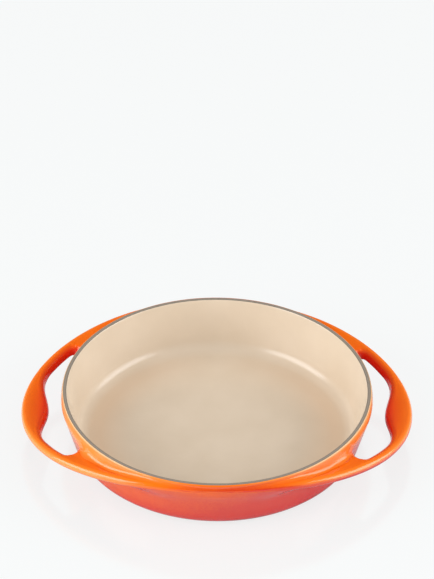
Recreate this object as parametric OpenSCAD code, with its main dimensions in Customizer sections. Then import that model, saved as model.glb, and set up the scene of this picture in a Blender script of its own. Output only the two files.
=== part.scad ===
// Tarte tatin dish: a shallow round baking dish cast in one piece of iron and enamelled.
// A drooping flange runs round the bowl under the rim and widens at both ends into a loop handle.
// The origin is the centre of the base, +X runs along the handles and +Z points up.

/* [Bowl] */
// Inside diameter at the rim
bowl_d = 250; // [200:1:300]
// Width of the flat ring on top of the rim
rim_w = 3; // [2.5:0.1:5]
// Rounding on both edges of the ring
rim_edge_r = 0.6; // [0.2:0.1:1]
// Height from the base to the rim
dish_h = 50.5; // [45:0.5:80]
// Thickness of the floor
floor_t = 4.5; // [3:0.1:8]
// How far the inside wall leans in from the rim to the floor
inside_lean = 10; // [1:0.5:30]
// Fillet between the floor and the inside wall
floor_fillet_r = 12; // [4:0.5:20]

/* [Outside of the bowl] */
// How far the wall stands out from the rim at its widest line
belt_out = 2; // [1:0.1:5]
// Depth of that widest line below the rim
belt_drop = 9; // [7:0.5:14]
// How far the outside corner at the base stands out from the inside corner at the floor
base_out = 2.5; // [1.5:0.1:6]
// How much larger the rounding outside that corner is than the fillet inside it
heel_extra_r = 2.5; // [0:0.1:4]
// Width of the flat foot ring that the dish stands on
foot_w = 10; // [5:0.5:30]
// Depth of the shallow recess inside the foot ring
foot_recess = 0.8; // [0.3:0.1:1.5]

/* [Flange and handles] */
// How far the flange stands out from the widest line of the wall, at the front and back
front_lip = 0.2; // [0.1:0.1:4]
// Thickness of the flange and the handles
flange_t = 8.2; // [6:0.1:10]
// Depth of the flange below the rim at the front and back
front_drop = 2; // [1.8:0.1:5]
// Depth of the handle's top below the rim at its end
grip_drop = 20; // [10:0.5:26]
// How late the flange bends down on its way to the handle's end
droop_power = 2.25; // [1.5:0.05:3]
// Width of the finger gap beside the middle of the grip, seen from above
gap_w = 10; // [6:0.5:20]
// Width of the grip at its middle
grip_w = 23; // [16:0.5:26]
// Length of the wide part of the grip
grip_len = 103; // [60:1:120]
// Width of the arms on both sides of the grip
arm_w = 9.8; // [8:0.1:14]
// Length of the finger gap between the handle and the bowl
gap_len = 144; // [120:1:150]
// Radius of the finger gap's rounded ends
gap_end_r = 5.2; // [3:0.1:6]
// How much further back the handle's inner side lies at its top than at its foot
gap_lean = 1.5; // [0:0.1:2.5]
// Rounding on the handle's edges inside the finger gap
gap_edge_r = 3; // [1:0.1:4]
// Fillet between the flange and the wall above it
valley_r = 3; // [1:0.1:4]

/* [Hidden] */
$fn = 96;

rim_in_r = bowl_d / 2;
rim_out_r = rim_in_r + rim_w;
belt_r = rim_out_r + belt_out;
belt_z = dish_h - belt_drop;
floor_r = rim_in_r - inside_lean;
base_r = floor_r + base_out;
heel_r = floor_fillet_r + heel_extra_r;

half_len = belt_r + gap_w + grip_w;
half_wid = belt_r + front_lip;

// Run of a rounding of radius r along both lines of a corner that opens by an angle
function corner_run(r, opening) = r / tan(opening / 2);
// Opening between a level line that runs to the axis and a wall that leans out by dx over dz
function wall_opening(dx, dz) = 90 + atan(dx / dz);

// How far a cut runs past the surface it opens
cut_clear = 1;

// Half section of a level floor and a leaning wall, whose lower corner is a true arc of radius r
module rounded_section(corner, r, wall) {
    lean = wall[0] - corner;
    run = corner_run(r, wall_opening(lean[0], lean[1]));
    polygon(concat(
        [[0, corner[1]], corner - [run, 0], corner + run * lean / norm(lean)],
        wall,
        [[0, wall[len(wall) - 1][1]]]
    ));
    translate(corner + [-run, r])
        circle(r);
}

module rim_section() {
    for (r = [rim_in_r + rim_edge_r, rim_out_r - rim_edge_r])
        translate([r, dish_h - rim_edge_r])
            circle(rim_edge_r);
}

// Half section of the bowl
module bowl_section() {
    heel_run = corner_run(heel_r, wall_opening(belt_r - base_r, belt_z));
    difference() {
        rounded_section([base_r, 0], heel_r, [
            [belt_r, belt_z],
            [rim_out_r, dish_h - rim_edge_r],
            [rim_out_r - rim_edge_r, dish_h]
        ]);
        rounded_section([floor_r, floor_t], floor_fillet_r, [
            [rim_in_r, dish_h - rim_edge_r],
            [rim_in_r + rim_edge_r, dish_h],
            [rim_in_r + rim_edge_r, dish_h + cut_clear]
        ]);
        square([base_r - heel_run - foot_w, foot_recess]);
    }
    rim_section();
}

module bowl() {
    rotate_extrude()
        bowl_section();
}

// Outside radius of the bowl at a height
function wall_r(z) = lookup(z, [[0, base_r], [belt_z, belt_r], [dish_h, rim_out_r]]);

// Outline of the flange, an ellipse seen from above, as a radius at an angle from the handles' line
function out_r(a) = half_len * half_wid / norm([half_wid * cos(a), half_len * sin(a)]);
// Depth of the flange's top below the rim
function drop(a) = front_drop
    + (grip_drop - front_drop) * pow(abs(cos(a)) * out_r(a) / half_len, droop_power);
// Radius of the handle's inner edge: a slim arm that swells into the grip
function swell(y) = pow(cos(90 * min(1, 2 * abs(y) / grip_len)), 2);
function grip_in_r(a) = out_r(a) - arm_w - (grip_w - arm_w) * swell(out_r(a) * sin(a));

// Angle and radius of the centre of the finger gap's rounded end, found by repeated guesses
first_guess_a = 30;
guesses = 8;
function gap_end_a(n) = asin((gap_len / 2 - gap_end_r)
    / (out_r(n == 0 ? first_guess_a : gap_end_a(n - 1)) - arm_w - gap_end_r));
end_a = gap_end_a(guesses);
end_mid_r = out_r(end_a) - arm_w - gap_end_r;

function polar(r, a) = r * [cos(a), sin(a)];

// Stations of a quarter of the flange, from the handle's end to the front:
// [point on the inner edge, direction into the metal, angle on the outer edge, seat].
// Seat is -1 beside the finger gap. In the wall it goes from 0 to 1 as the fillet grows.
grip_steps = 9;
end_steps = 5;
end_turn = 30;
out_step = 1.6;
seat_steps = 13;
edge_steps = 3;
nose_steps = 6;
nose_r = flange_t / 2;
// How deep the flange is seated in the wall, and the least flat left between the seat and its nose
seat_in = 1.4;
least_flat = 0.5;
// How steeply the fillet above the flange leaves the wall, and the bare wall left above it
climb = 1.6;
collar_h = 1;
// How far the flat underside runs on from the wall, and the spacing of points buried in the wall
under_flat = 0.9;
buried_step = 0.3;

function mix(a, b, t) = a * (1 - t) + b * t;
function seat_r(a) = min(wall_r(dish_h - drop(a)) - seat_in, out_r(a) - nose_r - least_flat);

grip_stations = [for (i = [0:grip_steps - 1]) let (a = end_a * i / grip_steps)
    [polar(grip_in_r(a), a), a, a, -1]];
end_stations = [for (i = [0:end_steps]) let (turn = end_a + end_turn * i)
    [polar(end_mid_r, end_a) + polar(gap_end_r, turn), turn, end_a + out_step * i, -1]];
seat_out_a = end_a + out_step * (end_steps + 1);
seat_stations = [for (i = [0:seat_steps]) let (t = i / seat_steps, a = mix(end_a, 90, t))
    [polar(seat_r(a), a), a, mix(seat_out_a, 90, t), min(1, i)]];
quarter = concat(grip_stations, end_stations, seat_stations);
last = len(quarter) - 1;

// A station of the whole ring, mirrored from the quarter
function flip(a, q) = q == 0 ? a : q == 1 ? 180 - a : q == 2 ? 180 + a : 360 - a;
function station(k) =
    let (q = floor(k / last), rest = k - q * last, s = quarter[q % 2 == 0 ? rest : last - rest])
    [[s[0][0] * (q == 1 || q == 2 ? -1 : 1), s[0][1] * (q >= 2 ? -1 : 1)], flip(s[1], q), flip(s[2], q), s[3]];

// Leaning inner side beside the finger gap, rounded above and below: [distance into the metal, height]
edge_round = [for (i = [0:edge_steps]) let (t = 90 * i / edge_steps) gap_edge_r * [1 - cos(t), sin(t) - 1]];
free_top = [for (p = edge_round) p + [gap_lean, 0]];
free_low = [for (i = [edge_steps:-1:0]) [edge_round[i][0], -flange_t - edge_round[i][1]]];

// Inner edge seated in the wall, with a fillet that climbs the wall above it
function fillet_point(i, face, rise) = i == 0 ? [0, climb * rise]
    : let (t = 90 * i / edge_steps) [face + rise * (1 - cos(t)), rise * (1 - sin(t))];
function seated_top(face, room, rise) = [for (i = [0:edge_steps]) let (p = fillet_point(i, face, rise))
    [min(p[0], room * i / (edge_steps + 1)), p[1]]];
function seated_low(face, room) = concat(
    [[min((face + room) / 2, face + under_flat), -flange_t]],
    [for (i = [edge_steps:-1:1]) i / edge_steps * [face, -flange_t]]
);
// Inner edge at the first seated station, buried whole in the wall
buried_top = [for (i = [0:edge_steps]) [buried_step * i, 0]];
function buried_low(face) = [for (i = [edge_steps + 1:-1:1]) i / (edge_steps + 1) * [face, -flange_t]];

// Section of the flange at a station: over the top to the rounded outer edge and back below
function section(k) =
    let (
        s = station(k),
        inner = s[0],
        in_r = norm(inner),
        in_a = atan2(inner[1], inner[0]),
        in_z = dish_h - drop(in_a),
        out_z = dish_h - drop(s[2]),
        nose_mid = polar(out_r(s[2]) - nose_r, s[2]),
        room = out_r(in_a) - nose_r - in_r,
        rise = min(valley_r, (dish_h - in_z - collar_h) / climb),
        low_face = min(room / 2, wall_r(in_z - flange_t) - seat_in - in_r),
        top = s[3] < 0 ? free_top : mix(buried_top, seated_top(wall_r(in_z) - in_r, room, rise), s[3]),
        low = s[3] < 0 ? free_low : mix(buried_low(low_face), seated_low(low_face, room), s[3])
    )
    concat(
        [for (p = top) concat(inner + polar(p[0], s[1]), in_z + p[1])],
        [for (i = [0:nose_steps]) let (t = 90 - 180 * i / nose_steps)
            concat(nose_mid + polar(nose_r * cos(t), s[2]), out_z + nose_r * (sin(t) - 1))],
        [for (p = low) concat(inner + polar(p[0], s[1]), in_z + p[1])]
    );

module flange() {
    count = 4 * last;
    rows = [for (k = [0:count - 1]) section(k)];
    n = len(rows[0]);
    polyhedron(
        points = [for (row = rows) for (p = row) p],
        faces = [for (k = [0:count - 1]) for (i = [0:n - 1])
            let (next = (k + 1) % count * n, up = (i + 1) % n)
            for (f = [[k * n + i, next + up, k * n + up], [k * n + i, next + i, next + up]]) f]
    );
}

// The whole casting
module dish() {
    color([0.93, 0.40, 0.10]) {
        bowl();
        flange();
    }
}

dish();
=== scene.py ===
import bmesh
import bpy
import numpy as np
from mathutils import Matrix, Vector


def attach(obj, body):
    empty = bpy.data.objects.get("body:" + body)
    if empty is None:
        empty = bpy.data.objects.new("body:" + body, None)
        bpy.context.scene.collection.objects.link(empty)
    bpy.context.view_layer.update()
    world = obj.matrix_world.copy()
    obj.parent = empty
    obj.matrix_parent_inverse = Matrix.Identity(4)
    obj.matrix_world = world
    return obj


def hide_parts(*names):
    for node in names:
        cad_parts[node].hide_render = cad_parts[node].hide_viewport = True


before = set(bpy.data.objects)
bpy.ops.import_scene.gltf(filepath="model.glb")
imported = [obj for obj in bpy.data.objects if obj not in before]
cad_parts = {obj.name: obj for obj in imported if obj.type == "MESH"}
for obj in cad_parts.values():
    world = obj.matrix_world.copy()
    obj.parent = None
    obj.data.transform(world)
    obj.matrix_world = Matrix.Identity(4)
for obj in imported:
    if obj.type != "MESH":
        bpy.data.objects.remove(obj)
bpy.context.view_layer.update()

# The dish
# One casting of grey iron: a round bowl, and round it a flange that droops towards both ends and
# widens there into a loop handle. Its surface is worked out for one quarter, from the handle's end
# to the front, as rows of points from the middle of the floor over the rim to the foot.
mm = 0.001
column_deg = np.array([0, 4.5, 9, 13.5, 18, 21.3, 24.2, 26.7, 28.93, 30.4, 32.3, 34.5, 37, 40, 43.5,
                       47.5, 52, 56.5, 61, 65.5, 70, 75, 80, 85, 90])
column_a = np.radians(column_deg)
rows, row_names = [], []


def radial(r, z):
    """Points at the columns' angles: a radius times their cosine and sine, and a height."""
    return np.stack([r * np.cos(column_a), r * np.sin(column_a), z + 0 * column_a], -1)


def add_row(name, points):
    """Adds one row of the quarter, a point for each column."""
    rows.append(points)
    row_names.append(name)


def arc(mid, r, start, stop, n):
    """n points of a circle round mid, from one angle to another: the radius times cosine and sine."""
    t = np.radians(np.linspace(start, stop, n))
    return np.stack([mid[0] + r * np.cos(t), mid[1] + r * np.sin(t)], 1)


# The inside of the bowl
# It is turned about the middle: a level floor, a true arc as its fillet, and a straight leaning wall
# up to the rounding inside the rim. All of it is cream enamel.
rim_in_r, rim_z, rim_edge_r = 125.0, 50.5, 0.6
floor_z, floor_r, floor_fillet_r = 4.5, 115.0, 12.0
floor_rows, wall_rows = (38, 72, 97), (21, 31.5, 42, 48.7)
edge_z = rim_z - rim_edge_r
lean = np.arctan((rim_in_r - floor_r) / (rim_z - floor_z))
lean_deg = np.degrees(lean)
run = floor_fillet_r / np.tan((np.pi / 2 + lean) / 2)
for r in floor_rows:
    add_row("cream", radial(r, floor_z))
for r, z in arc((floor_r - run, floor_z + floor_fillet_r), floor_fillet_r, -90, -lean_deg, 6):
    add_row("cream", radial(r, z))
for z in wall_rows:
    add_row("cream", radial(floor_r + (z - floor_z) * np.tan(lean), z))

# The ring on the rim
# A flat ring left without glossy enamel, rounded into the inside wall. Beyond it the outer rounding
# belongs to the outside's enamel, which thins out there and is painted pale there as a highlight
# towards the sides.
rim_out_r = 128.6
for r, z in arc((rim_in_r + rim_edge_r, edge_z), rim_edge_r, 180 - lean_deg, 90, 3):
    add_row("ring" if z > rim_z - rim_edge_r / 2 else "cream", radial(r, z))
add_row("ring", radial((rim_in_r + rim_out_r - rim_edge_r) / 2, rim_z))
for r, z in arc((rim_out_r - rim_edge_r, edge_z), rim_edge_r, 90, 0, 3):
    add_row("edge", radial(r, z))

# The outside of the bowl
# As cast, the wall leans out from the base to its widest line, the belt, and a little inwards above
# it. Red and orange enamel is fired on it.
base_r, belt_r, belt_z, belt_soft = 117.5, 130.0, 43.0, 0.25


def wall_r(z):
    """Outside of the bowl: two leaning straight lines that meet at the belt in a hyperbola's soft bend."""
    above = belt_r + (belt_z - z) * (belt_r - rim_out_r) / (rim_z - belt_z)
    below = base_r + z * (belt_r - base_r) / belt_z
    return (above + below - np.hypot(above - below, belt_soft)) / 2


def wall_way(z):
    """Direction of the outside wall at a height, going down: the chord over a fiftieth of a millimetre."""
    dr = wall_r(z - 0.01) - wall_r(z + 0.01)
    return np.stack([dr, np.full_like(z, -0.02)]) / np.hypot(dr, 0.02)


# The flange
# It is cast on round the bowl, level across, with a half round nose. Just below the rim at the front
# and back, it droops to the handles. Its section is followed by its run: radius, then arc length.
half_len, half_wid, flange_t = 163.0, 130.2, 8.2
front_drop, grip_drop, droop_power = 2.0, 20.0, 2.25
grip_w, grip_len, arm_w = 23.0, 103.0, 9.8
trough_deg, trough_depth = [37, 41.5, 46, 52, 57, 62], [0, 1.3, 1.9, 2.1, 1.7, 1.0]
trough_w, trough_full_w = 9, 5
nose_r = flange_t / 2


def fade(value, start, stop):
    """Share that goes in a straight line from 0 where the value is at start to 1 where it is at stop."""
    return np.clip((value - start) / (stop - start), 0, 1)


def out_r(a):
    """Outline of the flange from above: an ellipse, as a radius at an angle from the handles' line."""
    return half_len * half_wid / np.hypot(half_wid * np.cos(a), half_len * np.sin(a))


def top_z(a):
    """Height of the flange's top: the rim's, less a drop that grows as a power of the outline's x."""
    along = np.abs(np.cos(a) * out_r(a) / half_len)
    return rim_z - front_drop - (grip_drop - front_drop) * along ** droop_power


def grip_in_r(a):
    """Inner edge of the handle: the outline less the arm, less a cosine-squared swell of the grip."""
    y = out_r(a) * np.sin(a)
    swell = np.cos(np.pi / 2 * np.minimum(1, 2 * np.abs(y) / grip_len)) ** 2
    return out_r(a) - arm_w - (grip_w - arm_w) * swell


def trough(r, a):
    """Depth of the flange's top below the level of its nose: deepest at the wall, by the angle, and
    fading outwards as one less a smooth step of the distance. It needs a wide flange."""
    start = wall_r(top_z(a))
    flat = out_r(a) - nose_r - start
    deepest = np.interp(np.degrees(a), trough_deg, trough_depth)
    t = np.clip((r - start) / np.clip(flat, 0.1, trough_w), 0, 1)
    return deepest * fade(flat, 0, trough_full_w) * (1 - t) ** 2 * (1 + 2 * t)


def section(s, a):
    """Point of the flange's section at a run s: outwards on its top with the trough, a half circle
    round the nose, and back inwards on a level underside."""
    nose_from = out_r(a) - nose_r
    turn = np.clip((s - nose_from) / nose_r, 0, np.pi)
    back = np.maximum(0, s - nose_from - np.pi * nose_r)
    r = np.minimum(s, nose_from) + nose_r * np.sin(turn) - back
    return r, top_z(a) - nose_r + nose_r * np.cos(turn) - np.where(s < nose_from, trough(r, a), 0)


def section_way(s, a):
    """Direction of the flange's section at a run s: the chord over a fiftieth of a millimetre."""
    (r0, z0), (r1, z1) = section(s - 0.01, a), section(s + 0.01, a)
    return np.stack([r1 - r0, z1 - z0]) / np.hypot(r1 - r0, z1 - z0)


# The corners between the flange and the wall
# Iron fills both corners in soft fillets. First the sharp corners are found, by steps that settle
# where the nose itself meets the wall. Then the fillet above takes a height and a width at each angle.
corner_steps = 12
fillet_deg = [0, 28.9, 30.4, 32.3, 34.5, 37, 43.5, 90]
fillet_height = [3.2, 7, 8, 8, 6.5, 5, 3.2, 3.2]
fillet_width_deg = [0, 30.4, 32.3, 34.5, 37, 40, 43.5, 90]
fillet_width = [3.2, 3.3, 4.2, 5.6, 6.2, 5.2, 3.6, 3.2]
# Most of the collar's height that the fillet above may take, and the least run left between each
# fillet and the nose
fillet_most, least_top, least_low = 0.62, 1.6, 1.2
# The fillet below starts under_run before its corner, and on a narrow flange no later than under_from
# nose radii round the nose. It ends under_narrow below the corner on a flange that stands out from
# the wall by narrow_out or less, and under_wide below it on one that stands out by wide_out or more.
under_run, under_from = 2.2, 1.83
under_narrow, under_wide, narrow_out, wide_out = 12.0, 3.0, 3, 11

nose_from, flange_z = out_r(column_a) - nose_r, top_z(column_a)
mid_z = flange_z - nose_r
up_turn, low_turn = np.full_like(column_a, 0.5), np.full_like(column_a, 0.5)
for _ in range(corner_steps):
    up_r, low_r = wall_r(mid_z + nose_r * np.sin(up_turn)), wall_r(mid_z - nose_r * np.sin(low_turn))
    up_turn = np.arccos(np.clip((up_r - nose_from) / nose_r, 0, 1))
    low_turn = np.arccos(np.clip((low_r - nose_from) / nose_r, 0, 1))
corner_r = wall_r(flange_z - trough(0, column_a))
low_corner_r = wall_r(flange_z - flange_t)
upper = np.where(corner_r < nose_from, corner_r, nose_from + nose_r * (np.pi / 2 - up_turn))
lower = np.where(low_corner_r < nose_from, 2 * nose_from + np.pi * nose_r - low_corner_r,
                 nose_from + nose_r * (np.pi / 2 + low_turn))
corner_z, low_z = section(upper, column_a)[1], section(lower, column_a)[1]

height = np.interp(column_deg, fillet_deg, fillet_height)
fits = np.minimum(1, fillet_most * (edge_z - corner_z) / height)
fillet_top = corner_z + height * fits
top_from = upper + np.interp(column_deg, fillet_width_deg, fillet_width) * fits
wide = fade(out_r(column_a) - wall_r(mid_z), narrow_out, wide_out)
under = (1 - wide) * np.minimum(lower - under_run, nose_from + under_from * nose_r)
under = under + wide * (lower - under_run)
top_to = np.maximum(nose_from, top_from + least_top)
low_from = np.minimum(nose_from + np.pi * nose_r, under - least_low)


def fillet(p, p_way, q, q_way, n):
    """n rows of a cubic curve from p to q, whose inner control points lie a third of the chord along
    the directions in which it leaves and arrives."""
    t = np.linspace(0, 1, n)[:, None, None]
    reach = np.hypot(*(q - p)) / 3
    p1, q1 = p + p_way * reach, q - q_way * reach
    return (1 - t) ** 3 * p + 3 * t * (1 - t) ** 2 * p1 + 3 * t ** 2 * (1 - t) * q1 + t ** 3 * q


valley = fillet(np.stack([wall_r(fillet_top), fillet_top]), wall_way(fillet_top),
                np.stack(section(top_from, column_a)), section_way(top_from, column_a), 4)
wall_end = low_z - under_narrow + (under_narrow - under_wide) * wide
under_fillet = fillet(np.stack(section(under, column_a)), section_way(under, column_a),
                      np.stack([wall_r(wall_end), wall_end]), wall_way(wall_end), 4)

# The finger gap
# An opening cast through the flange at each end, which leaves the loop handle. Its sides lean, and
# its edges are rounded, more above than below. Its outline is given at the foot, as points on the
# handle's side and on the bowl's side, each with the direction that runs into the iron.
gap_deg, gap_mid_r, gap_end_r, gap_lean = 28.93, 138.1, 4.8, 1.5
gap_edge_r, low_edge_r = 3.2, 1.4
arm_slimmer, arm_from_deg, arm_full_deg = 0.1, 9.6, 17.6
# Turns round the gap's end where the handle's side has its last two points
hand_turns = (34, 62)
# Points where the bowl's side turns into the end: radius, angle, turn of the direction, share of the lean
bowl_corner = ((129.6, 28.8, 150, 0), (131.2, 29.95, 125, 0.2), (134.2, 30.8, 106, 0.6))
last = 10
column = np.arange(len(column_a))
in_gap = column < last
gap_a = np.radians(gap_deg)


def polar(r, a):
    """Point in plan: a radius times the cosine and sine of an angle."""
    return np.stack([r * np.cos(a), r * np.sin(a)], -1)


def gap_end(turn):
    """Point in plan on the circle that rounds the gap's end, at a turn from the radius, and the way
    that it looks."""
    way = gap_a + np.radians(turn)
    return polar(gap_mid_r, gap_a) + polar(gap_end_r, way), way


def from_gap(side, way, out, depth, lean_share=1.0):
    """Points at a distance out into the iron from the gap's outline, and at a depth that is counted
    negative from the flange's top. The gap's sides lean, so they lie further out the less deep they are."""
    out = out + lean_share * gap_lean * (1 + depth / flange_t)
    xy = side + np.stack([out * np.cos(way), out * np.sin(way)], -1)
    z = top_z(np.arctan2(xy[..., 1], xy[..., 0])) + depth
    return np.concatenate([xy, z[..., None]], -1)


hand_r = grip_in_r(column_a) - arm_slimmer * fade(column_deg, arm_from_deg, arm_full_deg)
hand_side = polar(hand_r, column_a)
hand_way = column_a.copy()
for c, turn in zip((last - 1, last), hand_turns):
    hand_side[c], hand_way[c] = gap_end(turn)
bowl_side, bowl_way, bowl_lean = hand_side.copy(), column_a + np.pi, np.zeros(len(column_a))
for c, (r, deg, turn, share) in zip((last - 2, last - 1, last), bowl_corner):
    bowl_side[c], bowl_way[c], bowl_lean[c] = polar(r, np.radians(deg)), gap_a + np.radians(turn), share
tip, tip_way = gap_end(90)
# Half way round its rounding, an edge lies this far in from its corner
edge_half, low_edge_half = gap_edge_r * (1 - np.sqrt(0.5)), low_edge_r * (1 - np.sqrt(0.5))

# The wall beside the gap is bare where the gap is open: its rows lie at these depths below the
# flange's top. At the gap's end it is mixed with the edge of the web between handle and bowl, whose
# rows have a distance out and a depth from the gap's outline.
web_share = np.interp(column, [last - 3, last - 2, last - 1], [0, 0.35, 1])[:, None]
bare_depth = {"valley0": -3.4, "valley1": -2.4, "valley2": -1.4, "valley3": -0.4, "web_in": 1.1,
              "side_up": 3, "side_low": 5.2, "web_in_low": 7.1,
              "under0": 8.3, "under1": 9.3, "under2": 10.4, "under3": 11.6}
web_edge = {"valley3": (2.1, -0.05), "web_in": (0.75, -0.9), "side_up": (0, -3), "side_low": (0, -5.2),
            "web_in_low": (0.75, -7.3), "under0": (2.2, -8.2)}


def beside_gap(name, whole=None):
    """Row of the wall beside the gap: the bare wall, mixed by web_share with the web's edge, or with
    the radius and height of the whole section."""
    z = flange_z - bare_depth[name]
    if name in web_edge:
        web = from_gap(bowl_side, bowl_way, *web_edge[name], bowl_lean)
    else:
        web = radial(*whole)
    return radial(wall_r(z), z) * (1 - web_share) + web * web_share


def pick(inside, points, others):
    """Takes points where inside is true, and the others elsewhere."""
    return np.where(np.asarray(inside)[:, None], points, others)


# The collar and the valley
# The collar is the upright face under the ring, where the enamel starts with a fine line. It is
# painted pale towards the sides, partly as a highlight, and more on the left. The valley
# is the fillet between it and the flange's top. Both run round the whole bowl.
valley_rows = [pick(in_gap, beside_gap("valley%d" % i, valley[i]), radial(*valley[i])) for i in range(4)]
collar_h = edge_z - valley_rows[0][:, 2]
collar_rows = (("line", np.minimum(0.9, 0.35 * collar_h)), ("collar", 0.45 * collar_h),
               ("collar", 0.72 * collar_h))
for name, below in collar_rows:
    add_row(name, radial(wall_r(edge_z - below), edge_z - below))
for i, points in enumerate(valley_rows):
    add_row("valley%d" % i, points)

# The flange's top, nose and underside
# Rows between the valley and the nose are shaped round the finger gap. Just beyond its end they
# still follow it, at the radii in near_end, and further on they spread evenly over the flange.
end_follow = np.interp(column, [last + 1, last + 2, last + 3, last + 4, last + 6], [1, 0.8, 0.5, 0.25, 0])
near_end = {"web_in": 133.8, "web_mid": 138.1, "web_out": 142.6, "grip0": 144.9, "grip1": 146.3,
            "grip2": 147.5}
web_ends = {"web_in": (bowl_side[last], bowl_way[last], bowl_lean[last]), "web_mid": (tip, tip_way, 1),
            "web_out": (hand_side[last], hand_way[last], 1)}
# Every row stays nose_clear before the nose. The first column beyond the gap lies end_flat past the
# rounded edge, and the grip's first row meets the gap's end corner_flat past it, at corner_turn.
nose_clear, end_flat, corner_flat, corner_turn = 0.5, 0.6, 0.4, 58
nose_rows = 8


def flange_row(name, s, low):
    """Row of the flange's top, or of its underside where low is true, shaped round the finger gap."""
    level, half, whole = (-flange_t, low_edge_half, low_edge_r) if low else (0, edge_half, gap_edge_r)
    half_depth = half - flange_t if low else -half
    r, z = section(s, column_a)
    r = r + end_follow * (np.minimum(near_end[name], nose_from - nose_clear) - r)
    flat_z = flange_z + level - (0 if low else trough(r, column_a))
    points = radial(r, np.where(r <= nose_from, flat_z, z))
    if name in web_ends:
        side, way, share = web_ends[name]
        points[last] = from_gap(side, way, half, half_depth, share)
        points[last + 1] = from_gap(side, way, whole + end_flat, level, share)
    if name == "web_in":
        points = pick(in_gap, beside_gap("web_in_low" if low else "web_in"), points)
    elif name == "web_out":
        points = pick(in_gap, from_gap(hand_side, hand_way, half, half_depth), points)
    elif name == "grip0":
        points = pick(in_gap, from_gap(hand_side, hand_way, whole, level), points)
        points[last] = from_gap(*gap_end(corner_turn), whole + corner_flat, level)
    elif name in ("grip1", "grip2"):
        start = np.hypot(*from_gap(hand_side, hand_way, whole, level)[:, :2].T)
        k = 0.5 if low else {"grip1": 1 / 3, "grip2": 2 / 3}[name]
        points = pick(in_gap, radial(start + (nose_from - start) * k, flange_z + level), points)
    add_row(name + ("_low" if low else ""), points)


# The underside is followed back inwards, and has one row less
top_names, low_names = list(near_end), list(near_end)[4::-1]
for i, name in enumerate(top_names):
    flange_row(name, top_from + (top_to - top_from) * (i + 1) / (len(top_names) + 1), False)
nose_start = np.where(in_gap, nose_from, top_to)
nose_stop = np.where(in_gap, nose_from + np.pi * nose_r, low_from)
for k in np.linspace(0, 1, nose_rows):
    add_row("nose", radial(*section(nose_start + (nose_stop - nose_start) * k, column_a)))
for i, name in enumerate(low_names):
    flange_row(name, low_from + (under - low_from) * (i + 1) / (len(low_names) + 1), True)
for i, points in enumerate(under_fillet):
    name = "under%d" % i
    add_row(name, pick(in_gap, beside_gap(name, points), radial(*points)))

# The wall below the flange, the heel and the foot ring
# The wall runs down to a true arc, the heel. The dish stands on a flat ring, ground level, round a
# shallow recess.
heel_r, foot_w, recess = 14.5, 10.0, 0.8
heel_open = np.pi / 2 + np.arctan((belt_r - base_r) / belt_z)
heel_run = heel_r / np.tan(heel_open / 2)
heel_top = heel_run * np.sin(heel_open)
under_end = rows[-1][:, 2]
for k in (0.35, 0.7):
    z = under_end + (heel_top - under_end) * k
    add_row("low", radial(wall_r(z), z))
for r, z in arc((base_r - heel_run, heel_r), heel_r, 90 - np.degrees(heel_open), -90, 5):
    add_row("low", radial(r, z))
foot_r = base_r - heel_run - foot_w
foot_rows = ((foot_r + 5.0, 0), (foot_r + 1.0, 0), (foot_r + 0.1, 0.15), (foot_r - 0.6, recess),
             (foot_r - 2.5, recess), (45, recess))
for r, z in foot_rows:
    add_row("low", radial(r, z))

# The whole surface
# The quarter is mirrored front to back and left to right, and closed at both middles. The quads in
# the finger gaps are left out, and the gaps' leaning sides are added.
quarter = len(column_a) - 1
n_rows, n_cols = len(rows), 4 * quarter
there, back_again = np.arange(quarter), np.arange(quarter, 0, -1)
cols = np.concatenate([there, back_again, there, back_again])
mirror = np.repeat([[1, 1, 1], [-1, 1, 1], [-1, -1, 1], [1, -1, 1]], quarter, 0)
grid = np.array(rows)[:, cols] * mirror[None]
n_grid = n_rows * n_cols
index = np.arange(n_grid).reshape(n_rows, n_cols)
points = [grid.reshape(-1, 3), np.array([[0, 0, floor_z], [0, 0, recess]])]
poles = np.array([n_grid, n_grid + 1])
row_at = {name: i for i, name in enumerate(row_names)}

i0, j0 = np.meshgrid(np.arange(n_rows - 1), np.arange(n_cols), indexing="ij")
j1 = (j0 + 1) % n_cols
quads = np.stack([index[i0, j0], index[i0 + 1, j0], index[i0 + 1, j1], index[i0, j1]], -1)
keep = np.ones(quads.shape[:2], bool)
gap_cols = np.concatenate([np.arange(-last, last), np.arange(-last, last) + 2 * quarter]) % n_cols
for name in ("web_in", "web_mid", "web_out_low", "web_mid_low"):
    keep[row_at[name], gap_cols] = False
quad_row = np.broadcast_to(np.arange(n_rows - 1)[:, None], keep.shape)[keep]
quads = quads[keep]


def gap_loop(span, out_row, mid_row, in_row):
    """Numbers of the points round a gap: along the handle's side, the tip, back along the bowl's side,
    and the other tip."""
    out, mid, inner = (index[row_at[name]] for name in (out_row, mid_row, in_row))
    return np.concatenate([out[span], [mid[span[-1]]], inner[span[::-1]], [mid[span[0]]]])


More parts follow.
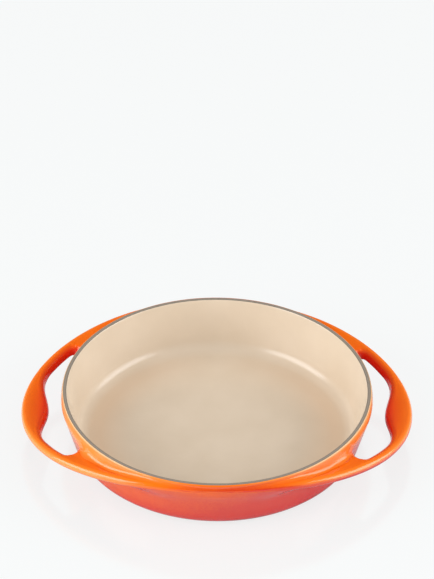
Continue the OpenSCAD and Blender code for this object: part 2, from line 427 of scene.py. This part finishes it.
n_points = n_grid + len(poles)
steps = np.arange(-last, last + 1)
for middle, flip in ((0, [1, 1, 1]), (2 * quarter, [-1, -1, 1])):
    span = (steps + middle) % n_cols
    top_loop = gap_loop(span, "web_out", "web_mid", "web_in")
    low_loop = gap_loop(span, "web_out_low", "web_mid_low", "web_in_low")
    halves = np.stack([np.ones(len(steps)), np.where(steps < 0, -1, 1), np.ones(len(steps))], 1)
    for name, depth in (("side_up", -gap_edge_r), ("side_low", low_edge_r - flange_t)):
        hand = from_gap(hand_side, hand_way, 0, depth)[np.abs(steps)] * halves
        bowl = beside_gap(name)
        bowl[last] = from_gap(bowl_side[last], bowl_way[last], 0, depth, bowl_lean[last])
        bowl = bowl[np.abs(steps)] * halves
        end = from_gap(tip, tip_way, 0, depth)
        points.append(np.concatenate([hand, [end], bowl[::-1], [end * [1, -1, 1]]]) * flip)
    n_loop = len(top_loop)
    up_loop = n_points + np.arange(n_loop)
    down_loop = up_loop + n_loop
    n_points += 2 * n_loop
    for above, below in ((top_loop, up_loop), (up_loop, down_loop), (down_loop, low_loop)):
        side_quads = np.stack([above, np.roll(above, -1), np.roll(below, -1), below], 1)
        quads = np.concatenate([quads, side_quads])
        quad_row = np.concatenate([quad_row, np.full(n_loop, row_at["grip0"])])
points = np.concatenate(points)


def smooth_through(goal, quads, held, rounds=40):
    """Cage whose subdivision surface passes through the given points: each point is moved again and
    again by what the surface still misses it by. The surface's place over a point with n faces is
    n*n times the point, plus 4 times its edge neighbours, plus its far corners, over n*(n + 5)."""
    n = np.maximum(np.bincount(quads.ravel(), minlength=len(goal)), 1)[:, None]
    cage = goal.copy()
    for _ in range(rounds):
        near, far = np.zeros_like(cage), np.zeros_like(cage)
        for k in range(4):
            corner = quads[:, k]
            np.add.at(near, corner, (cage[quads[:, k - 1]] + cage[quads[:, (k + 1) % 4]]) / 2)
            np.add.at(far, corner, cage[quads[:, (k + 2) % 4]])
        missed = goal - (n * n * cage + 4 * near + far) / (n * (n + 5))
        missed[held] = 0
        cage += missed
    return cage


# The rows round both middles are flat already, and stay where they are
held = np.concatenate([index[[0, 1, -1, -2]].ravel(), poles])
cage = smooth_through(points, quads, held)
rim_cols = np.arange(n_cols)
next_cols = (rim_cols + 1) % n_cols
floor_fan = np.stack([np.full(n_cols, poles[0]), index[0, rim_cols], index[0, next_cols]], 1)
foot_fan = np.stack([np.full(n_cols, poles[1]), index[-1, next_cols], index[-1, rim_cols]], 1)
used = np.unique(np.concatenate([quads.ravel(), poles]))
renumber = np.zeros(len(cage), int)
renumber[used] = np.arange(len(used))
faces = renumber[quads].tolist() + renumber[np.concatenate([floor_fan, foot_fan])].tolist()
mesh = bpy.data.meshes.new("dish_body")
mesh.from_pydata((points[used] * mm).tolist(), [], faces)
cream_slot, ring_slot, flame_slot = 0, 1, 2
slots = {"cream": cream_slot, "ring": ring_slot}
face_slots = [slots.get(row_names[i], flame_slot) for i in quad_row]
face_slots += [cream_slot] * n_cols + [flame_slot] * n_cols
mesh.polygons.foreach_set("material_index", np.array(face_slots, dtype=np.int32))
mesh.polygons.foreach_set("use_smooth", np.ones(len(faces), bool))
bm = bmesh.new()
bm.from_mesh(mesh)
bmesh.ops.recalc_face_normals(bm, faces=bm.faces)
bm.to_mesh(mesh)
bm.free()

# The coats on the outside
# Orange enamel is sprayed from above and outside over red, so it lies thickest on what looks up,
# thins out down the wall, and hardly reaches the undersides and the handles' inner sides. Its share
# also holds painted shade and light: darker red on what looks down, in the flange's narrow groove at
# the front and back, under the nose and on the right, more orange on the left. On edges all of it
# runs thin and pale, with painted highlights. Each coat is a share from 0 to 1 at every point.

# Which way each point looks, and where it lies
way = np.empty(len(mesh.vertices) * 3)
mesh.vertex_normals.foreach_get("vector", way)
way_x, way_y, up = way.reshape(-1, 3).T
x, y, z = points[used].T
spot_r = np.maximum(np.hypot(x, y), 1)
spot_a = np.arctan2(np.abs(y), np.abs(x))
rightward = x / spot_r
sideways = np.abs(rightward)
outward = (way_x * x + way_y * y) / spot_r
onward = (way_y * x - way_x * y) / spot_r
outside = spot_r > rim_out_r
in_grid = used < n_grid
row_name = np.where(in_grid, np.array(row_names)[np.minimum(used // n_cols, n_rows - 1)], "")
nose = row_name == "nose"
width = out_r(spot_a) - grip_in_r(spot_a)
across = np.clip((spot_r - grip_in_r(spot_a)) / width, 0, 1)
down = (top_z(spot_a) - z) / flange_t
inner = np.hypot(np.minimum(outward, 0), np.where(outward < 0.3, onward, 0)) * (up > -0.3)

# Orange: thick on what looks up and outwards near the rim, partly as painted light, and thinner down
# the gaps' sides. Painted shade lowers it on the right's steep sides, where painted light raises it on
# the left's, in the flange's narrow groove in the middle of the front and back, and under the nose.
coat_light_and_shade = 0.45 + 0.5 * up + np.where(outward > 0, 0.35, 0.45) * outward * z / rim_z
# Painted shade on the right's steep sides, painted light on the left's
coat_light_and_shade -= 0.27 * np.maximum(outward, 0) * fade(up, 1, 0) * rightward
# Painted shade in the flange's narrow groove at the middle of the front and back
front_groove_shade = np.interp(rightward, [-0.42, -0.1, 0.12, 0.33, 0.6], [0, 0.46, 0.55, 0.36, 0])
back_groove_shade = 0.35 * fade(sideways, 0.55, 0)
coat_light_and_shade -= np.where(y < 0, front_groove_shade, back_groove_shade) * outside * fade(up, 0, 0.5)
inner_coat = np.interp(down, [0, 0.15, 0.35, 0.6], [0.85, 0.75, 0.42, 0.1])
coat_light_and_shade += inner * (inner_coat - coat_light_and_shade) * outside
# Painted shade under the nose, most on the right
nose_underside_shade = np.interp(rightward, [-0.4, 0, 0.4], [0, 0.16, 0.28]) * fade(up, 0.6, 0.2)
coat_light_and_shade -= np.where(nose & (outward > 0), nose_underside_shade, 0)
coat_light_and_shade = np.where(nose & (sideways < 0.7), np.maximum(coat_light_and_shade, 0.44), coat_light_and_shade)

# Bright red: on the inner side of the handles and where their top rounds into it, most on the grips
red = np.interp(across, [0.1, 0.3, 0.48, 1], [1, 0.76, 0.35, 0])
red *= np.interp(width, [arm_w, grip_w], [0.35, 1]) * fade(up, 0, 0.5) * (z < rim_z - 1) * outside
red = np.clip(red + inner ** 4, 0, 1) * (1 - 0.9 * fade(down, 0.4, 0.9))
red *= outside * fade(np.degrees(spot_a), 34, 29)

# Thin and pale, partly painted highlight and reflection: a painted highlight line along the nose of
# the arms, a painted reflection on the underside of the left one's nose, and from the valley up the
# collar to the ring's border a pale band, partly painted highlight, more on the left and less towards
# the front and back
# Painted highlight: a pale line round the nose where it looks half up, towards the sides
nose_highlight_line = np.exp(-((up - 0.5) / 0.32) ** 2)
thin_and_highlight = np.where(nose, nose_highlight_line, 0) * 0.62 * fade(sideways, 0.42, 0.72)
# Painted reflection on the underside of the left nose at the front
thin_and_highlight += nose * 0.5 * fade(up, 0.4, 0) * fade(rightward, -0.4, -0.7) * (y < 0)
collar_thin_and_highlight = {"collar": 1, "valley0": 0.9, "valley1": 0.7, "valley2": 0.45, "valley3": 0.2}
share = np.array([collar_thin_and_highlight.get(name, 0) for name in row_name])
# Pale collar and valley, partly thin enamel and partly painted highlight, more on the left
thin_and_highlight += share * (0.60 - 0.18 * rightward) * sideways
# Painted highlight on the rim's outer rounding and the collar's fine line, towards the sides
thin_and_highlight = np.where(row_name == "edge", 0.02 + 0.96 * fade(sideways, 0.12, 0.62), thin_and_highlight)
thin_and_highlight = np.where(row_name == "line", 0.02 + 0.78 * sideways ** 2, thin_and_highlight)

# The ring's borders, and painted warm shade on the floor by its fillet towards both ends
ring_mid = (rim_in_r + rim_out_r) / 2
border = np.clip(np.abs(spot_r - ring_mid) / (rim_out_r - ring_mid), 0, 1)
# Painted shade: on the floor by the fillet, towards both ends
floor_shade = np.exp(-((spot_r - 100) / 11.0) ** 2) * (z < 30) * (up > 0) * sideways
coats = {"orange_coat_light_and_shade": coat_light_and_shade, "thin_coat_and_highlight": thin_and_highlight, "red_coat": red, "ring_border": border, "painted_floor_shade": floor_shade}
for name, values in coats.items():
    layer = mesh.attributes.new(name, "FLOAT", "POINT")
    layer.data.foreach_set("value", np.clip(values, 0, 1).astype(np.float32))

# The finished casting
# The cage takes the place of the points that its surface runs through, and two rounds of
# subdivision give that surface. It is one rigid body, and stands for the solid of the same name.
mesh.vertices.foreach_set("co", (cage[used] * mm).ravel())
mesh.update()
dish = bpy.data.objects.new("dish_body", mesh)
bpy.context.collection.objects.link(dish)
smooth = dish.modifiers.new("smooth", "SUBSURF")
smooth.levels = smooth.render_levels = 2
smooth.use_limit_surface = True
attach(dish, "root")
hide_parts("dish")

# Cream enamel
# The glossy lining of the bowl, fired on: smooth, with a faint cloudiness, a few fine specks and a
# very slight waviness. On the floor by its fillet towards both ends it is painted darker and warmer
# as shade.


def material(name, roughness):
    """New node material, its tree and its principled shader."""
    mat = bpy.data.materials.new(name)
    mat.use_nodes = True
    shader = mat.node_tree.nodes["Principled BSDF"]
    shader.inputs["Roughness"].default_value = roughness
    return mat, mat.node_tree, shader


def put(tree, kind, inputs, out=0, **settings):
    """Adds a node with its settings, fills its inputs with values or other nodes' outputs, and gives
    one of its outputs."""
    new = tree.nodes.new(kind)
    for key, value in settings.items():
        setattr(new, key, value)
    for key, value in inputs.items():
        if isinstance(value, bpy.types.NodeSocket):
            tree.links.new(value, new.inputs[key])
        else:
            new.inputs[key].default_value = value
    return new.outputs[out]


def attribute(tree, name):
    """One of the coats' shares."""
    return put(tree, "ShaderNodeAttribute", {}, "Fac", attribute_name=name)


def noise(tree, scale, detail=2.0):
    """Noise over the object's own coordinates, with scale features to the metre."""
    where = put(tree, "ShaderNodeTexCoord", {}, "Object")
    return put(tree, "ShaderNodeTexNoise", {"Vector": where, "Scale": scale, "Detail": detail})


def math(tree, operation, *values):
    """A sum of one kind over values or other nodes' outputs."""
    return put(tree, "ShaderNodeMath", dict(enumerate(values)), operation=operation)


def plus(tree, base, extra, by):
    """A value, plus another one's distance from a half, times a share."""
    return math(tree, "MULTIPLY_ADD", math(tree, "ADD", extra, -0.5), by, base)


def ramp(tree, value, stops):
    """Colours over a value, blended between stops of a position and a colour."""
    new = tree.nodes.new("ShaderNodeValToRGB")
    tree.links.new(value, new.inputs[0])
    marks = new.color_ramp.elements
    while len(marks) < len(stops):
        marks.new(0.5)
    for mark, (position, color) in zip(marks, stops):
        mark.position = position
        mark.color = (*color, 1)
    return new.outputs[0]


def mixed(tree, share, first, second):
    """Two colours mixed by a share."""
    return put(tree, "ShaderNodeMixRGB", {"Fac": share, "Color1": first, "Color2": second})


def bumped(tree, shader, height, depth):
    """Raises the surface by a height of at most a depth in metres."""
    bump = put(tree, "ShaderNodeBump", {"Height": height, "Distance": depth, "Strength": 1.0})
    tree.links.new(bump, shader.inputs["Normal"])


enamel_ior = 1.56
cream_tone = [(0.3, (0.685, 0.565, 0.43)), (0.7, (0.725, 0.605, 0.47))]
# Colours of the painted floor shade, and of the real specks
floor_shade_tone, speck_tone = (0.69, 0.505, 0.35, 1), (0.45, 0.33, 0.22, 1)
floor_shade_share, speck_share, speck_from = 0.85, 0.10, 0.72
cream, tree, shader = material("cream_enamel", 0.2)
shader.inputs["IOR"].default_value = enamel_ior
cloud = noise(tree, 28, 3)
specks = math(tree, "GREATER_THAN", noise(tree, 1500, 1), speck_from)
tone = ramp(tree, cloud, cream_tone)
# Painted shade: darker, warmer cream on the floor by the fillet towards both ends
tone = mixed(tree, math(tree, "MULTIPLY", attribute(tree, "painted_floor_shade"), floor_shade_share), tone, floor_shade_tone)
tone = mixed(tree, math(tree, "MULTIPLY", specks, speck_share), tone, speck_tone)
tree.links.new(tone, shader.inputs["Base Color"])
tree.links.new(plus(tree, 0.22, cloud, 0.12), shader.inputs["Roughness"])
bumped(tree, shader, noise(tree, 120, 1), 0.00006)

# Matt ring
# The rim has only a thin dark ground coat, because a glossy one would chip: finely mottled, and a
# little darker and rougher along both borders.
ring_tone, border_tone = [(0.3, (0.25, 0.212, 0.17)), (0.7, (0.365, 0.31, 0.25))], (0.13, 0.10, 0.075, 1)
matt, tree, shader = material("matt_ring", 0.55)
grain = noise(tree, 900, 4)
dark = math(tree, "POWER", plus(tree, attribute(tree, "ring_border"), grain, 0.5), 1.5)
tree.links.new(mixed(tree, dark, ramp(tree, grain, ring_tone), border_tone), shader.inputs["Base Color"])
tree.links.new(plus(tree, 0.55, grain, 0.3), shader.inputs["Roughness"])
bumped(tree, shader, grain, 0.00006)

# Flame enamel
# The glossy outside: the orange coat over the red one, with its painted shade and light, finely
# mottled, bright red on the handles' inner sides, and thin and pale along the edges, with painted
# highlights.
flame_tone = [(0.0, (0.42, 0.004, 0.006)), (0.2, (0.60, 0.010, 0.008)), (0.42, (0.63, 0.026, 0.008)),
              (0.62, (0.73, 0.082, 0.006)), (0.85, (0.88, 0.142, 0.003)), (1.0, (0.93, 0.17, 0.003))]
red_tone, pale_and_highlight_tone = (0.76, 0.030, 0.008, 1), [(0.55, (0.90, 0.37, 0.09)), (1.0, (0.78, 0.49, 0.25))]
flame, tree, shader = material("flame_enamel", 0.12)
shader.inputs["IOR"].default_value = enamel_ior
grain, cloud = noise(tree, 520, 4), noise(tree, 60, 2)
# The orange coat's share, with its painted shade and light
orange_light_and_shade = plus(tree, plus(tree, attribute(tree, "orange_coat_light_and_shade"), grain, 0.16), cloud, 0.12)
thin_and_highlight = attribute(tree, "thin_coat_and_highlight")
tone = mixed(tree, attribute(tree, "red_coat"), ramp(tree, orange_light_and_shade, flame_tone), red_tone)
# Pale where the enamel runs thin, partly painted highlight
tone = mixed(tree, thin_and_highlight, tone, ramp(tree, thin_and_highlight, pale_and_highlight_tone))
tree.links.new(tone, shader.inputs["Base Color"])
tree.links.new(plus(tree, 0.10, grain, 0.08), shader.inputs["Roughness"])
bumped(tree, shader, plus(tree, noise(tree, 260, 1), grain, 0.25), 0.00004)
for coat_material in (cream, matt, flame):
    mesh.materials.append(coat_material)

# The floor
# A wide sheet of white board with a very faint polish. The camera sees its plain white, with a faint
# shadow of the dish. The enamel mirrors it as it is lit, so it darkens under the flange.
paper_white, floor_half = 0.94, 6
shadow_seen, shadow_mirrored, polish_share = 0.12, 1.0, 0.045


def between(tree, share, first, second):
    """A number between two, by a share."""
    return put(tree, "ShaderNodeMix", {0: share, 2: first, 3: second}, data_type="FLOAT")


corners = [(-floor_half, -floor_half, 0), (floor_half, -floor_half, 0), (floor_half, floor_half, 0),
           (-floor_half, floor_half, 0)]
floor_mesh = bpy.data.meshes.new("floor")
floor_mesh.from_pydata(corners, [], [(0, 1, 2, 3)])
floor = bpy.data.objects.new("floor", floor_mesh)
bpy.context.collection.objects.link(floor)
white, tree, shader = material("floor_white", 0.5)
shader.inputs["Base Color"].default_value = (0.85, 0.85, 0.85, 1)
path = tree.nodes.new("ShaderNodeLightPath")
lit = between(tree, path.outputs["Is Glossy Ray"], shadow_seen, shadow_mirrored)
paper_tone, lit_tone = (paper_white, paper_white, paper_white, 1), (0.82, paper_white, paper_white, 1)
glow = put(tree, "ShaderNodeEmission", {"Color": paper_tone, "Strength": 1.0})
plain = put(tree, "ShaderNodeBsdfDiffuse", {"Color": lit_tone})
ripple = put(tree, "ShaderNodeBump", {"Height": noise(tree, 900, 2), "Distance": 0.00006, "Strength": 1.0})
polish = put(tree, "ShaderNodeBsdfGlossy", {"Color": (1, 1, 1, 1), "Roughness": 0.0, "Normal": ripple})
seen = put(tree, "ShaderNodeMixShader", {0: lit, 1: glow, 2: plain})
seen = put(tree, "ShaderNodeMixShader", {0: polish_share, 1: seen, 2: polish})
direct = math(tree, "MAXIMUM", path.outputs["Is Camera Ray"], path.outputs["Is Glossy Ray"])
both = put(tree, "ShaderNodeMixShader", {0: direct, 1: shader.outputs[0], 2: seen})
tree.links.new(both, tree.nodes["Material Output"].inputs["Surface"])
floor_mesh.materials.append(white)

# The studio
# Dim even light comes from all round, so the enamel mirrors little but the lamps. The camera, and
# the floor's polish, see the same white all round as on the floor.
even_light, mirrored_light = 0.50, 0.10
world = bpy.data.worlds.new("studio")
bpy.context.scene.world = world
world.use_nodes = True
tree = world.node_tree
path = tree.nodes.new("ShaderNodeLightPath")
level = between(tree, path.outputs["Is Glossy Ray"], even_light, mirrored_light)
level = between(tree, path.outputs["Is Singular Ray"], level, paper_white)
level = between(tree, path.outputs["Is Camera Ray"], level, paper_white)
tree.links.new(level, tree.nodes["Background"].inputs["Strength"])
tree.nodes["Background"].inputs["Color"].default_value = (1, 1, 1, 1)

# The lamps
# A long soft lamp stands low at each side, and a weak one hangs high in front, which nothing mirrors.
# Each has an angle round from the back, one up from the floor, a glow, a width and a height.
lamp_far = 2.6
lamps = (("lamp_left", -112, 22, 4.6, 2.4, 1.7), ("lamp_right", 97, 22, 4.1, 2.4, 1.7),
         ("lamp_front", 180, 66, 0.95, 2.2, 2.0))
for name, round_deg, up_deg, glow_level, wide_m, tall_m in lamps:
    lamp = bpy.data.lights.new(name, "AREA")
    lamp.shape = "RECTANGLE"
    lamp.size, lamp.size_y = wide_m, tall_m
    lamp.energy = glow_level * np.pi * wide_m * tall_m
    holder = bpy.data.objects.new(name, lamp)
    bpy.context.collection.objects.link(holder)
    holder.visible_camera = False
    holder.visible_glossy = name != "lamp_front"
    round_a, up_a = np.radians(round_deg), np.radians(up_deg)
    lamp_way = Vector((np.sin(round_a) * np.cos(up_a), np.cos(round_a) * np.cos(up_a), np.sin(up_a)))
    holder.location = lamp_way * lamp_far
    holder.rotation_euler = lamp_way.to_track_quat("Z", "Y").to_euler()

# The camera
# It stands 4 m from the middle of the rim and looks down at it at the photograph's angle, turned and
# rolled by half a degree. The middle of the rim falls on its own place in the picture.
pitch, azimuth, roll = np.radians([36.32, -0.49, 0.51])
distance, px_per_mm, rim_px, rim_py = 4000.0, 1.2029, 217.0, 389.2
picture_w, picture_h, sensor = 434, 579, 36
forward = np.array([np.sin(azimuth) * np.cos(pitch), np.cos(azimuth) * np.cos(pitch), -np.sin(pitch)])
level_right = np.array([np.cos(azimuth), -np.sin(azimuth), 0])
level_up = np.cross(level_right, forward)
right = np.cos(roll) * level_right + np.sin(roll) * level_up
upward = np.cos(roll) * level_up - np.sin(roll) * level_right
aside, above = (picture_w / 2 - rim_px) / px_per_mm, (rim_py - picture_h / 2) / px_per_mm
place = [0, 0, rim_z] + aside * right + above * upward - distance * forward
camera_data = bpy.data.cameras.new("camera")
camera_data.lens = px_per_mm * distance * sensor / picture_h
camera_data.clip_end = 100
camera = bpy.data.objects.new("camera", camera_data)
bpy.context.collection.objects.link(camera)
turn = np.eye(4)
turn[:3] = np.stack([right, upward, -forward, place * mm], 1)
camera.matrix_world = Matrix(turn.tolist())
bpy.context.scene.camera = camera

# View
bpy.context.scene.view_settings.view_transform = "Standard"
